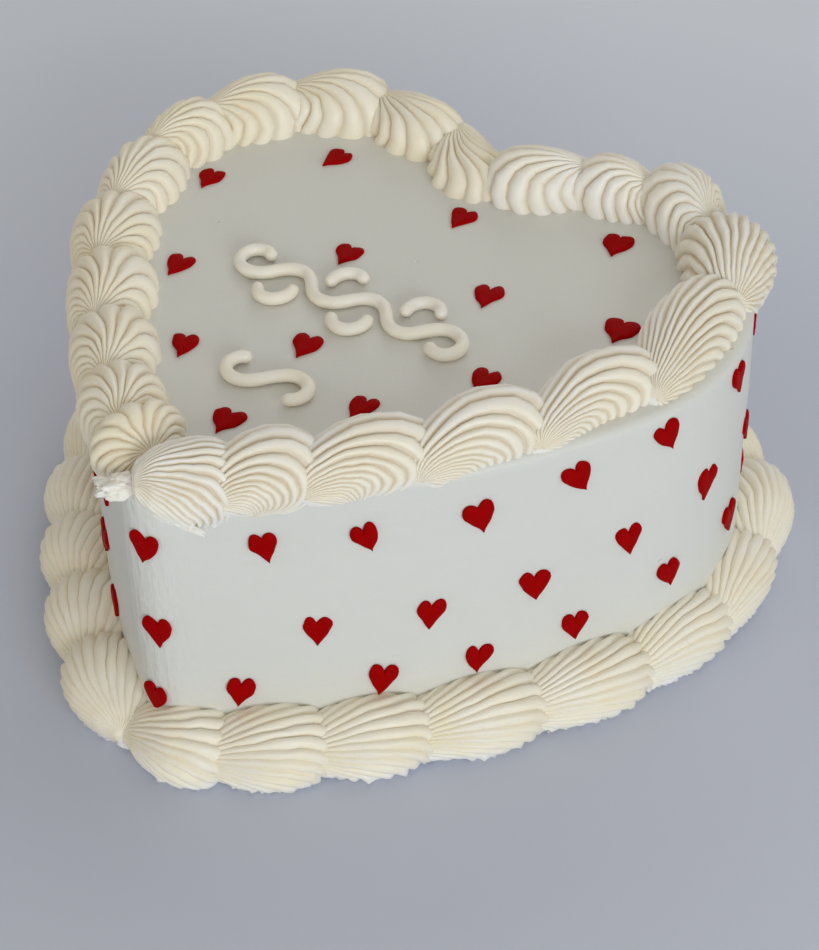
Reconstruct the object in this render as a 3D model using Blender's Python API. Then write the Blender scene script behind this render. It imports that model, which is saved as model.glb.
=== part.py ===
"""A heart shaped layer cake in smooth buttercream, with a border of piped shells round the top edge
and another round the foot, small red hearts on the walls and the top, and a piped scroll.

Metres, +Z up. The cake stands on z = 0 with the tip of the heart towards -Y and the notch towards +Y.
"""

import math
import random

import bmesh
import bpy
from mathutils import Matrix, Vector
from mathutils.bvhtree import BVHTree

# Driving dimensions of the smooth cake
CAKE_HEIGHT = 0.110
LOBE_RADIUS = 0.075
LOBE_OFFSET = 0.045  # from the middle line to the centre of each lobe
SIDE_RADIUS = 0.297  # the long side between a lobe and the tip is a shallow arc
TIP_RADIUS = 0.015
TIP_REACH = 0.153  # from the line through the lobes' centres to the tip
TOP_EDGE_ROUND = 0.003
LOBE_LINE_Y = 0.0368  # puts the middle of the whole cake's box over the origin
ARC_TOLERANCE = 0.0002
GAP = 0.0003  # between pieces that touch

# Shell borders, from the tip of the heart to the notch. For each shell, in millimetres: where it starts
# along the border's path, its half width, its height, and how far it lies outward and upward of the path
TOP_RIGHT_SHELLS = (
    (0.0, 15.0, 14.0, 1.5, -0.6), (21.0, 15.1, 14.4, -0.7, 0.3), (46.8, 14.6, 14.2, -1.2, 0.4),
    (82.4, 14.4, 15.0, -2.6, 0.4), (120.6, 13.4, 14.0, -4.8, 0.8), (163.4, 15.0, 15.0, 1.8, -0.2),
    (218.0, 17.4, 16.2, 9.5, 0.8), (250.0, 14.8, 17.2, 9.4, 2.4), (277.2, 14.2, 15.4, 3.2, 1.0),
    (300.5, 15.6, 15.8, -0.2, 0.8),
)
TOP_LEFT_SHELLS = (
    (0.0, 17.0, 15.0, 2.5, 0.0), (20.2, 15.3, 14.6, 1.9, -0.2), (46.6, 15.7, 14.6, 0.8, -0.3),
    (77.3, 16.2, 14.8, 1.2, -0.1), (111.2, 16.2, 14.6, 3.4, -0.3), (144.0, 15.4, 15.2, 3.4, 0.4),
    (178.5, 14.6, 15.8, 3.2, 1.1), (205.4, 15.7, 16.6, 3.0, 1.4), (236.1, 16.2, 16.4, 3.2, 1.4),
    (268.8, 14.6, 14.8, -0.4, 1.0), (300.9, 15.0, 12.6, -3.4, -1.8),
)
# By side, where the axis of the first shell starts, and how far its tail lies above the other tails
TOP_FIRST_TAILS = {-1: (-0.0026, -0.0975, 0.0), 1: (-0.0047, -0.1099, 0.0035)}
TOP_LAST_HEADS = {-1: (0.0070, -0.0040), 1: (-0.0040, -0.0025)}  # by side, how far past the path's end
FOOT_RIGHT_SHELLS = (
    (-2.0, 16.2, 12.8, 1.9, -0.4), (25.6, 17.0, 13.4, 0.4, -0.1), (57.9, 16.3, 13.0, 0.0, -0.1),
    (91.8, 16.2, 13.0, -0.5, -0.1), (131.0, 15.6, 12.9, -1.1, 0.3), (170.0, 14.9, 12.7, -2.6, -0.3),
    (207.8, 14.6, 12.0, -1.6, -0.2), (246.4, 14.4, 13.8, 3.6, 1.0), (283.9, 16.0, 13.1, 1.5, 0.2),
    (318.9, 16.5, 12.9, 0.5, 0.0), (356.9, 15.8, 13.2, 0.0, -0.1),
)
FOOT_LEFT_SHELLS = (
    (13.6, 16.5, 13.0, 1.1, 0.0), (44.7, 17.6, 12.7, 0.4, -0.2), (78.3, 15.5, 12.9, 2.4, 0.0),
    (109.2, 14.4, 12.9, 3.6, 0.0), (140.1, 15.4, 13.2, 0.5, 0.0), (176.0, 14.8, 12.8, -2.4, 0.2),
    (212.0, 14.9, 12.6, -1.4, 0.0), (248.0, 15.1, 13.3, 2.6, -0.1), (284.0, 16.5, 12.8, 1.0, 0.0),
    (319.0, 16.1, 13.1, -0.3, 0.1), (355.0, 15.6, 12.9, 0.0, 0.0),
)
MILLIMETRE = 0.001

TOP_BORDER = dict(
    inset=0.0113,  # the path, over which the crest lies, is this far inside the wall
    level=CAKE_HEIGHT + 0.0004,
    tail_inset=0.0072,
    tail_level=CAKE_HEIGHT - 0.0004,
    spokes=16,
    first_ridge=math.radians(-48),  # from straight out, upwards and over to the far side
    last_ridge=math.radians(184),
)
FOOT_BORDER = dict(
    inset=-0.0082,
    level=0.0098,
    tail_inset=-0.0070,
    tail_level=0.0080,
    spokes=14,
    first_ridge=math.radians(-56),
    last_ridge=math.radians(128),
)
HEAD_OVERHANG = 0.006  # how far a shell's head laps over the tail of the shell behind it
TAIL_TUCK = 0.009  # how far a tail reaches under the head in front of it
TAIL_SHARE = 0.54  # thickness of the tail's end against the head
TAIL_END = 0.15  # the last of the tail, as a share of the shell's length, is thinner still
TAIL_END_SHARE = 0.8
HEAD_START = 0.58  # where the round head begins, as a share of the shell's length
HEAD_BLUNTNESS = 2.5
RIDGE_DEPTH = 0.0017
SHELL_RINGS = 6
ROOM_SPOKES = 8

# Small red hearts
HEART_WIDTH = 0.0112
HEART_LENGTH = 0.0130
HEART_RELIEF = 0.0013
HEART_SINK = 0.0010
HEART_CORNERS = 10
HEART_PITCH = 0.0345
HEART_ROWS = (
    # height, hearts on the right side as station from the tip, tilt in degrees and rise in millimetres,
    # and where the hearts on the left side start
    (0.0905, ((0.0025, -8, 0.0), (0.0398, 14, 0.0), (0.0716, 12, -0.2), (0.1080, 12, 0.2), (0.1414, 20, 1.6),
              (0.1740, 22, 0.7), (0.2120, 4, 0.7)), 0.030),
    (0.0540, ((0.0037, 0, 0.6), (0.0544, -4, -0.8), (0.0912, -5, -0.8), (0.1267, 0, 0.1), (0.1607, 4, 0.6),
              (0.1940, -9, 5.3), (0.2300, 3, 3.0)), 0.048),
    (0.0276, ((-0.0005, -5, -4.6), (0.0283, -8, 0.1), (0.0745, -14, -0.4), (0.1070, -2, 1.0),
              (0.1415, 0, -0.4), (0.1780, 4, 1.9), (0.2140, 0, 1.9)), 0.045),
)
HEART_TILT = 0.3  # the other hearts on the walls lean by up to this many radians
WALL_HEART_SIZES = (0.92, 1.06)
TOP_HEART_SIZES = (0.94, 1.08)
NOTCH_CLEARANCE = 0.020  # no heart lies nearer the notch than this
ROW_RISE = 0.009  # the rows climb a little round the lobes
ROW_RISE_START = 0.110
ROW_RISE_END = 0.180
TOP_HEARTS = (
    # across and along from the line through the lobes' centres, and tilt in degrees
    (-0.0885, -0.0040, 9), (-0.0583, 0.0310, -8), (0.0010, 0.0243, 5), (0.0546, 0.0405, 17),
    (-0.0196, -0.0150, 6), (-0.0645, -0.0515, 6), (0.0339, -0.0088, 19), (0.0807, -0.0005, 12),
    (-0.0347, -0.0855, 18), (-0.0009, -0.0639, 8), (0.0580, -0.0470, 10), (0.0332, -0.0805, 8),
    (0.0015, -0.1090, 9),
)
TOP_MIDDLE = (0.0, -0.035)

# Piped scroll on the top: wavy lines whose ends curl in, and short curls beside the long one
SCROLL_THICKNESS = 0.0046
SCROLL_STEP = 0.0036
WAVES = (
    # name, middle, length of a wave, waves from the middle to an end curl, the length and radius of the curl
    ("scroll_long", (-0.0020, -0.0380), 0.038, 1.25, 0.0252, 0.0085),
    ("scroll_short", (0.0005, -0.0860), 0.044, 0.25, 0.0180, 0.0075),
)
WAVE_SWING = 0.90  # steepest heading of a wave, in radians
SHORT_CURLS = (
    # start, heading in degrees, length
    ((0.0088, -0.0418), -62, 0.0216),
    ((-0.0219, -0.0418), -62, 0.0216),
    ((-0.0128, -0.0342), 118, 0.0180),
    ((0.0179, -0.0342), 118, 0.0216),
)
SHORT_CURL_RADIUS = 0.0085
CURL_TIGHT_RADIUS = 0.0045  # at the end of every curl

HEART_CLEARANCE = 0.0004
HEART_STEP = 0.0010
HEART_STEPS = 16
SEED = 14


def clear_scene():
    for obj in list(bpy.data.objects):
        bpy.data.objects.remove(obj, do_unlink=True)


def new_collection(name, hidden=False):
    collection = bpy.data.collections.new(name)
    bpy.context.scene.collection.children.link(collection)
    collection.hide_render = hidden
    return collection


def principled(name, colour, roughness):
    material = bpy.data.materials.new(name)
    material.use_nodes = True
    shader = material.node_tree.nodes["Principled BSDF"]
    shader.inputs["Base Color"].default_value = (*colour, 1.0)
    shader.inputs["Roughness"].default_value = roughness
    shader.inputs["Metallic"].default_value = 0.0
    return material


def heart_arcs(offset):
    """The right half of the outline moved out by offset: (centre, radius, start, end) from tip to notch."""
    lobe = Vector((LOBE_OFFSET, 0.0))
    tip = Vector((0.0, TIP_RADIUS - TIP_REACH))
    to_tip = SIDE_RADIUS - TIP_RADIUS
    to_lobe = SIDE_RADIUS - LOBE_RADIUS
    span = (lobe - tip).length
    corner = math.acos((to_tip**2 + span**2 - to_lobe**2) / (2 * to_tip * span))
    bearing = math.atan2(lobe.y - tip.y, lobe.x - tip.x) + corner
    side = tip + to_tip * Vector((math.cos(bearing), math.sin(bearing)))
    leave_tip = math.atan2(tip.y - side.y, tip.x - side.x)
    meet_lobe = math.atan2(lobe.y - side.y, lobe.x - side.x)
    lobe_radius = LOBE_RADIUS + offset
    arcs = [
        (tip, TIP_RADIUS + offset, -math.pi / 2, leave_tip),
        (side, SIDE_RADIUS + offset, leave_tip, meet_lobe),
    ]
    if offset < 0:
        # inside the cake the path turns round the notch's corner
        notch = Vector((0.0, math.sqrt(LOBE_RADIUS**2 - LOBE_OFFSET**2)))
        last = math.acos(-LOBE_OFFSET / LOBE_RADIUS)
        arcs.append((lobe, lobe_radius, meet_lobe, last))
        arcs.append((notch, offset, last, math.pi / 2))
    else:
        arcs.append((lobe, lobe_radius, meet_lobe, math.acos(-LOBE_OFFSET / lobe_radius)))
    return arcs


def arc_length(arc):
    return abs(arc[1] * (arc[3] - arc[2]))


def half_length(offset):
    return sum(arc_length(arc) for arc in heart_arcs(offset))


def station(distance, side, offset=0.0):
    """Point and outward direction on the outline, a distance from the tip, right (+1) or left (-1)."""
    if distance < 0:
        distance, side = -distance, -side
    arcs = heart_arcs(offset)
    while len(arcs) > 1 and distance > arc_length(arcs[0]):
        distance -= arc_length(arcs.pop(0))
    centre, radius, start, end = arcs[0]
    angle = start + (end - start) * min(distance / arc_length(arcs[0]), 1.0)
    out = Vector((math.cos(angle), math.sin(angle)))
    point = centre + radius * out
    return Vector((side * point.x, point.y + LOBE_LINE_Y)), Vector((side * out.x, out.y))


def outline_points(offset):
    """The whole outline as points, each arc in steps that keep it within ARC_TOLERANCE of the curve."""
    half = []
    for centre, radius, start, end in heart_arcs(offset)[:3]:
        step = 2 * math.acos(1 - min(ARC_TOLERANCE / abs(radius), 1.0))
        count = max(2, math.ceil(abs(end - start) / step))
        for index in range(count):
            angle = start + (end - start) * index / count
            half.append(centre + radius * Vector((math.cos(angle), math.sin(angle))))
    last = heart_arcs(offset)[2]
    half.append(last[0] + last[1] * Vector((math.cos(last[3]), math.sin(last[3]))))
    half[-1].x = 0.0
    left = [Vector((-point.x, point.y)) for point in reversed(half[1:-1])]
    return [Vector((point.x, point.y + LOBE_LINE_Y)) for point in half + left]


def prism(name, points, bottom, top, collection):
    """A flat outline given its height: a filled 2D curve, extruded and made a mesh."""
    curve = bpy.data.curves.new(name + "_outline", "CURVE")
    curve.dimensions = "2D"
    curve.fill_mode = "BOTH"
    curve.extrude = (top - bottom) / 2
    spline = curve.splines.new("POLY")
    spline.points.add(len(points) - 1)
    for place, point in zip(spline.points, points):
        place.co = (point.x, point.y, 0.0, 1.0)
    spline.use_cyclic_u = True
    maker = bpy.data.objects.new(name + "_maker", curve)
    maker.location.z = (top + bottom) / 2
    collection.objects.link(maker)
    return curve_to_mesh(maker, name, collection)


def curve_to_mesh(maker, name, collection):
    graph = bpy.context.evaluated_depsgraph_get()
    mesh = bpy.data.meshes.new_from_object(maker.evaluated_get(graph))
    mesh.name = name
    weld = bmesh.new()
    weld.from_mesh(mesh)
    bmesh.ops.remove_doubles(weld, verts=weld.verts, dist=1e-5)
    bmesh.ops.recalc_face_normals(weld, faces=weld.faces)
    weld.to_mesh(mesh)
    weld.free()
    obj = bpy.data.objects.new(name, mesh)
    obj.matrix_world = maker.matrix_world.copy()
    collection.objects.link(obj)
    curve = maker.data
    bpy.data.objects.remove(maker, do_unlink=True)
    bpy.data.curves.remove(curve)
    return obj


def settle(obj):
    """Applies the object's modifiers and keeps only its largest body."""
    graph = bpy.context.evaluated_depsgraph_get()
    graph.update()
    mesh = bpy.data.meshes.new_from_object(obj.evaluated_get(graph))
    obj.modifiers.clear()
    old = obj.data
    obj.data = mesh
    mesh.name = obj.name
    if old.users == 0:
        bpy.data.meshes.remove(old)
    shape = bmesh.new()
    shape.from_mesh(mesh)
    bmesh.ops.remove_doubles(shape, verts=shape.verts, dist=2e-5)
    bmesh.ops.dissolve_degenerate(shape, edges=shape.edges, dist=2e-5)
    bodies = islands(shape)
    bodies.sort(key=len, reverse=True)
    loose = [face for faces in bodies[1:] for face in faces]
    if loose:
        bmesh.ops.delete(shape, geom=loose, context="FACES")
    shape.to_mesh(mesh)
    shape.free()


def islands(shape):
    todo = set(shape.faces)
    bodies = []
    while todo:
        stack = [todo.pop()]
        body = []
        while stack:
            face = stack.pop()
            body.append(face)
            for edge in face.edges:
                for other in edge.link_faces:
                    if other in todo:
                        todo.remove(other)
                        stack.append(other)
        bodies.append(body)
    return bodies


def subtract(obj, cutter):
    """The exact solver leaves some of these thin wedges empty, so the manifold one cuts them."""
    modifier = obj.modifiers.new("cut_by_" + cutter.name, "BOOLEAN")
    modifier.operation = "DIFFERENCE"
    modifier.solver = "MANIFOLD"
    modifier.object = cutter


def smooth_ramp(value):
    value = max(0.0, min(1.0, value))
    return value * value * (3 - 2 * value)


def shell_profile(share):
    """Thickness of a shell, as a share of its head's, from the tail's end (0) to the head's end (1)."""
    if share > HEAD_START:
        rest = (share - HEAD_START) / (1 - HEAD_START)
        return max(0.0, 1 - rest**HEAD_BLUNTNESS) ** (1 / HEAD_BLUNTNESS)
    return TAIL_SHARE + (1 - TAIL_SHARE) * math.sin(math.pi / 2 * share / HEAD_START) ** 1.2


def spoke_angle(index, border):
    """Ridges and valleys take turns over the round that shows; the hidden part has one corner."""
    first, last = border["first_ridge"], border["last_ridge"]
    shown = border["spokes"] - 1
    if index == shown:
        return (first + last) / 2 + math.pi
    return first + (last - first) * index / (shown - 1)


def shell_mesh(name, border, size, side, room):
    """A teardrop along +X, head foremost, from a sphere whose poles are the tail and the head.

    The shell itself is ridged. The room that it needs is a plain teardrop of fewer faces, a gap larger.
    """
    spokes = ROOM_SPOKES if room else border["spokes"]
    swell = 1 / math.cos(math.pi / ROOM_SPOKES) if room else 1.0
    grow = GAP if room else 0.0
    shape = bmesh.new()
    bmesh.ops.create_uvsphere(shape, u_segments=spokes, v_segments=SHELL_RINGS, radius=1.0)
    length = size["length"] + 2 * grow
    for vert in shape.verts:
        share = (1 + vert.co.z) / 2
        thick = shell_profile(min(share, 0.999)) * swell
        pole = math.hypot(vert.co.x, vert.co.y) < 1e-4
        turn = math.atan2(vert.co.y, vert.co.x) % (2 * math.pi)
        index = round(turn / (2 * math.pi) * spokes) % spokes
        angle = turn if room else spoke_angle(index, border)
        valley = 0.0 if room else RIDGE_DEPTH * min(1.0, 0.35 + thick) * (index % 2)
        if share < TAIL_END:
            thick *= TAIL_END_SHARE
        wide = size["wide"] * thick - valley + grow
        high = size["high"] * thick - valley + grow
        ramp = smooth_ramp(share / HEAD_START)
        inset = border["tail_inset"] + (border["inset"] - border["tail_inset"]) * ramp
        tail_level = border["tail_level"] + size["tail_lift"]
        level = tail_level + (border["level"] + size["lift"] - tail_level) * ramp
        if pole:
            wide = high = 0.0
        out = border["inset"] - inset + size["outward"] * ramp + wide * math.cos(angle)
        vert.co = Vector((share * length - grow, -side * out, level + high * math.sin(angle)))
    shape.normal_update()
    bmesh.ops.recalc_face_normals(shape, faces=shape.faces)
    mesh = bpy.data.meshes.new(name)
    shape.to_mesh(mesh)
    shape.free()
    return mesh


def shell_plan(prefix, border, shells, side):
    """Place and size of every shell of one run, from the notch to the tip, as it is piped."""
    path = -border["inset"]
    total = half_length(path)
    starts = [shell[0] * MILLIMETRE for shell in shells] + [total - HEAD_OVERHANG]
    plans = []
    for number, shell in enumerate(shells, start=1):
        tail = station(starts[number - 1] - TAIL_TUCK, side, path)[0]
        head = station(starts[number] + HEAD_OVERHANG, side, path)[0]
        tail_lift = 0.0
        if number == 1 and border is TOP_BORDER:
            tail = Vector(TOP_FIRST_TAILS[side][:2])
            tail_lift = TOP_FIRST_TAILS[side][2]
        if number == len(shells) and border is TOP_BORDER:
            head += Vector(TOP_LAST_HEADS[side])
        along = head - tail
        wide, high, outward, lift = (value * MILLIMETRE for value in shell[1:])
        size = dict(length=along.length, wide=wide, high=high, outward=outward, lift=lift, tail_lift=tail_lift)
        name = f"{prefix}_{number:02d}"
        yaw = math.atan2(along.y, along.x)
        plans.append(dict(name=name, border=border, size=size, side=side, place=tail, yaw=yaw))
    return list(reversed(plans))


def shell_object(plan, name, collection, room=False):
    mesh = shell_mesh(name, plan["border"], plan["size"], plan["side"], room)
    obj = bpy.data.objects.new(name, mesh)
    obj.location = (plan["place"].x, plan["place"].y, 0.0)
    obj.rotation_euler.z = plan["yaw"]
    obj.display_type = "WIRE" if room else "TEXTURED"
    collection.objects.link(obj)
    return obj


def world_box(obj):
    corners = [obj.matrix_world @ Vector(corner) for corner in obj.bound_box]
    low = Vector(min(corner[axis] for corner in corners) for axis in range(3))
    high = Vector(max(corner[axis] for corner in corners) for axis in range(3))
    return low, high


def boxes_meet(first, second):
    return all(first[0][axis] < second[1][axis] and second[0][axis] < first[1][axis] for axis in range(3))


def piped_border(plans, fixed_cutters, material, collection, cutters):
    """Each shell is cut by the cake it lies on and by every shell piped over it later."""
    rooms = [shell_object(plan, "room_for_" + plan["name"], cutters, room=True) for plan in plans]
    shells = [shell_object(plan, plan["name"], collection) for plan in plans]
    bpy.context.view_layer.update()
    boxes = [world_box(obj) for obj in rooms]
    for number, obj in enumerate(shells):
        for cutter in fixed_cutters:
            subtract(obj, cutter)
        for later in range(number + 1, len(plans)):
            if boxes_meet(boxes[number], boxes[later]):
                subtract(obj, rooms[later])
        settle(obj)
        obj.data.materials.append(material)
        obj.data.shade_smooth()
        obj.data.set_sharp_from_angle(angle=math.radians(50))
    return shells


def small_heart_points():
    """Outline of a small heart, tip down: a sum of cosines draws it, sized to its width and length."""
    points = []
    for index in range(HEART_CORNERS):
        turn = 2 * math.pi * index / HEART_CORNERS
        across = 16 * math.sin(turn) ** 3
        up = 13 * math.cos(turn) - 5 * math.cos(2 * turn) - 2 * math.cos(3 * turn) - math.cos(4 * turn)
        points.append(Vector((across / 32 * HEART_WIDTH, (up + 2.5) / 29 * HEART_LENGTH)))
    return points


def small_heart(name, matrix, tilt, size, retreat, shells, collection):
    """One small heart on the surface that matrix gives, moved along retreat until clear of the shells."""
    points = [size * point for point in reversed(small_heart_points())]
    obj = prism(name, points, -HEART_SINK, HEART_RELIEF, collection)
    turned = matrix @ Matrix.Rotation(tilt, 4, "Z")
    for step in range(HEART_STEPS):
        obj.matrix_world = Matrix.Translation(retreat * step * HEART_STEP) @ turned
        if not any(tree_of(obj, HEART_CLEARANCE).overlap(tree) for tree in shells):
            return
    bpy.data.objects.remove(obj, do_unlink=True)


def tree_of(obj, swell=0.0):
    """The object's faces in world space, for finding what they cross, grown by swell on every side."""
    size = max(obj.dimensions) or 1.0
    scale = Matrix.Scale(1 + 2 * swell / size, 4)
    points = [obj.matrix_world @ scale @ vert.co for vert in obj.data.vertices]
    return BVHTree.FromPolygons(points, [tuple(face.vertices) for face in obj.data.polygons])


def wall_heart_places(draw):
    """Distance, side, height and tilt of the hearts on the walls."""
    places = []
    far = half_length(0.0) - NOTCH_CLEARANCE
    for height, right, left_start in HEART_ROWS:
        stations = [(distance, 1, math.radians(tilt), rise * MILLIMETRE) for distance, tilt, rise in right]
        distance = right[-1][0] + HEART_PITCH
        while distance < far:
            stations.append((distance, 1, draw.uniform(-HEART_TILT, HEART_TILT), 0.0))
            distance += HEART_PITCH
        distance = left_start
        while distance < far:
            stations.append((distance, -1, draw.uniform(-HEART_TILT, HEART_TILT), 0.0))
            distance += HEART_PITCH
        for distance, side, tilt, rise in stations:
            climb = smooth_ramp((distance - ROW_RISE_START) / (ROW_RISE_END - ROW_RISE_START))
            places.append((distance, side, height + rise + ROW_RISE * climb, tilt))
    return places


def red_hearts(collection, shells, draw):
    number = 0
    for distance, side, height, tilt in wall_heart_places(draw):
        point, out = station(distance, side)
        across = Vector((-out.y, out.x, 0.0))
        matrix = Matrix((
            (across.x, 0.0, out.x, point.x),
            (across.y, 0.0, out.y, point.y),
            (0.0, 1.0, 0.0, height),
            (0.0, 0.0, 0.0, 1.0),
        ))
        number += 1
        size = draw.uniform(*WALL_HEART_SIZES)
        retreat = Vector((0.0, 0.0, -1.0 if height > CAKE_HEIGHT / 2 else 1.0))
        small_heart(f"heart_{number}", matrix, tilt, size, retreat, shells, collection)
    for across, along, tilt in TOP_HEARTS:
        matrix = Matrix.Translation((across, along + LOBE_LINE_Y, CAKE_HEIGHT))
        number += 1
        size = draw.uniform(*TOP_HEART_SIZES)
        inwards = (Vector(TOP_MIDDLE) - Vector((across, along))).normalized().to_3d()
        small_heart(f"heart_{number}", matrix, math.radians(tilt), size, inwards, shells, collection)


def smooth_cake(material, collection, shells, draw):
    """The iced cake with its small hearts in relief, one solid."""
    cake = prism("cake_body", outline_points(0.0), 0.0, CAKE_HEIGHT, collection)
    round_top_edge(cake)
    relief = new_collection("red_hearts")
    red_hearts(relief, [tree_of(obj) for obj in shells], draw)
    bpy.context.view_layer.update()
    join = cake.modifiers.new("hearts", "BOOLEAN")
    join.operation = "UNION"
    join.solver = "EXACT"
    join.operand_type = "COLLECTION"
    join.collection = relief
    settle(cake)
    for obj in list(relief.objects):
        bpy.data.objects.remove(obj, do_unlink=True)
    bpy.data.collections.remove(relief)
    cake.data.materials.clear()
    cake.data.materials.append(material)
    cake.data.shade_smooth()
    cake.data.set_sharp_from_angle(angle=math.radians(40))
    return cake


def curl_bend(distance, length, widest):
    """Curvature along a curl, from wide to tight."""
    share = distance / length
    return (1 - share) / widest + share / CURL_TIGHT_RADIUS


def wave_bend(distance, wave_length, span, curl_length, widest):
    """Curvature along one half of a wavy line: the waves, then the curl at its end."""
    if distance < span:
        turn = 2 * math.pi / wave_length
        return -WAVE_SWING * turn * math.sin(turn * distance)
    return -curl_bend(distance - span, curl_length, widest)


def stroke_points(bend, length, start, heading):
    """Points along a stroke, led by its curvature."""
    count = round(length / SCROLL_STEP)
    step = length / count
    point = Vector(start)
    points = [point.copy()]
    for index in range(count):
        turn = bend((index + 0.5) * step) * step
        point += step * Vector((math.cos(heading + turn / 2), math.sin(heading + turn / 2)))
        heading += turn
        points.append(point.copy())
    return points


def piped_stroke(name, points, material, collection):
    curve = bpy.data.curves.new(name, "CURVE")
    curve.dimensions = "3D"
    curve.bevel_depth = SCROLL_THICKNESS / 2
    curve.bevel_resolution = 1
    curve.use_fill_caps = True
    spline = curve.splines.new("POLY")
    spline.points.add(len(points) - 1)
    for place, point in zip(spline.points, points):
        place.co = (point.x, point.y + LOBE_LINE_Y, 0.0, 1.0)
    maker = bpy.data.objects.new(name + "_maker", curve)
    maker.location.z = CAKE_HEIGHT + GAP + SCROLL_THICKNESS / 2
    collection.objects.link(maker)
    bpy.context.view_layer.update()
    obj = curve_to_mesh(maker, name, collection)
    obj.data.materials.append(material)
    obj.data.shade_smooth()
    return obj


def scroll(material, collection):
    """A wavy line is the same turned half round, so one half gives both."""
    for name, middle, wave_length, waves, curl_length, widest in WAVES:
        span = wave_length * waves
        half = stroke_points(
            lambda distance: wave_bend(distance, wave_length, span, curl_length, widest),
            span + curl_length, (0.0, 0.0), WAVE_SWING,
        )
        turned = [-point for point in reversed(half[1:])]
        points = [Vector(middle) + point for point in turned + half]
        piped_stroke(name, points, material, collection)
    for number, (start, heading, length) in enumerate(SHORT_CURLS, start=1):
        points = stroke_points(
            lambda distance: -curl_bend(distance, length, SHORT_CURL_RADIUS),
            length, start, math.radians(heading),
        )
        piped_stroke(f"scroll_curl_{number}", points, material, collection)


def round_top_edge(cake):
    shape = bmesh.new()
    shape.from_mesh(cake.data)
    top = max(vert.co.z for vert in shape.verts)
    rim = [edge for edge in shape.edges if edge_on_rim(edge, top)]
    bmesh.ops.bevel(shape, geom=rim, offset=TOP_EDGE_ROUND, offset_type="OFFSET", segments=2,
                    profile=0.5, affect="EDGES", material=-1)
    shape.to_mesh(cake.data)
    shape.free()


def edge_on_rim(edge, top):
    level = all(abs(vert.co.z - top) < 1e-6 for vert in edge.verts)
    return level and any(abs(face.normal.z) < 0.5 for face in edge.link_faces)


def main():
    clear_scene()
    draw = random.Random(SEED)
    cake_parts = new_collection("heart_cake")
    cutters = new_collection("cutters", hidden=True)
    buttercream = principled("buttercream", (0.78, 0.76, 0.70), 0.55)
    piped_cream = principled("piped_buttercream", (0.82, 0.76, 0.62), 0.5)
    room = prism("room_for_cake", outline_points(GAP), -0.02, CAKE_HEIGHT + GAP, cutters)
    floor_points = [Vector(corner) for corner in ((-0.3, -0.3), (0.3, -0.3), (0.3, 0.3), (-0.3, 0.3))]
    below = prism("below_the_cake", floor_points, -0.05, 0.0, cutters)
    bpy.context.view_layer.update()
    top = shell_plan("top_shell_left", TOP_BORDER, TOP_LEFT_SHELLS, -1)
    top += shell_plan("top_shell_right", TOP_BORDER, TOP_RIGHT_SHELLS, 1)
    foot = shell_plan("foot_shell_left", FOOT_BORDER, FOOT_LEFT_SHELLS, -1)
    foot += shell_plan("foot_shell_right", FOOT_BORDER, FOOT_RIGHT_SHELLS, 1)
    shells = piped_border(top, [room], piped_cream, cake_parts, cutters)
    shells += piped_border(foot, [room, below], piped_cream, cake_parts, cutters)
    bpy.context.view_layer.update()
    smooth_cake(buttercream, cake_parts, shells, draw)
    scroll(piped_cream, cake_parts)
    for obj in list(cutters.objects):
        bpy.data.objects.remove(obj, do_unlink=True)
    bpy.data.collections.remove(cutters)


main()
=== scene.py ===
"""Looks for the heart shaped cake: smooth buttercream, piped shells, small red hearts and a scroll."""

import bisect
import math
import random

import bmesh
import bpy
from mathutils import Matrix, Vector, noise


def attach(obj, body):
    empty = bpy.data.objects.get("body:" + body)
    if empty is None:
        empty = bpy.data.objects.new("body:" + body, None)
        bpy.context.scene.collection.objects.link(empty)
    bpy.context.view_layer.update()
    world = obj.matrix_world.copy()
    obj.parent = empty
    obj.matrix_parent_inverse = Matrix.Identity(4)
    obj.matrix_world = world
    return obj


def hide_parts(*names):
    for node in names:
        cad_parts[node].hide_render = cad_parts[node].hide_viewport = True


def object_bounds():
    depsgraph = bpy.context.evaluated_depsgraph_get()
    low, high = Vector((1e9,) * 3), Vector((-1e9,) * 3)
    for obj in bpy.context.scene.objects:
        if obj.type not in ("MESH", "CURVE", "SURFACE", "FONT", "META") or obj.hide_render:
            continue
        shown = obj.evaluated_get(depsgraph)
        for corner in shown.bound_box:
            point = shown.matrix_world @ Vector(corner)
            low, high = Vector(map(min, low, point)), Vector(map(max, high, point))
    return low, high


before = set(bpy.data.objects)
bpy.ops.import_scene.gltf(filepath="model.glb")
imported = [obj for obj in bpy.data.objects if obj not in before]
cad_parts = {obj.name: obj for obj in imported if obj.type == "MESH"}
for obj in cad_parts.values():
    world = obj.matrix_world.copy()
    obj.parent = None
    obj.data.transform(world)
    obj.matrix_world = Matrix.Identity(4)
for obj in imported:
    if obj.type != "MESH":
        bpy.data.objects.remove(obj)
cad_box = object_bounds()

# The smooth cake, as its solid has it, in metres
CAKE_HEIGHT = 0.110
LOBE_RADIUS = 0.075
LOBE_OFFSET = 0.045
SIDE_RADIUS = 0.297
TIP_RADIUS = 0.015
TIP_REACH = 0.153
TOP_EDGE_ROUND = 0.003
LOBE_LINE_Y = 0.0368
GAP = 0.0003

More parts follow.
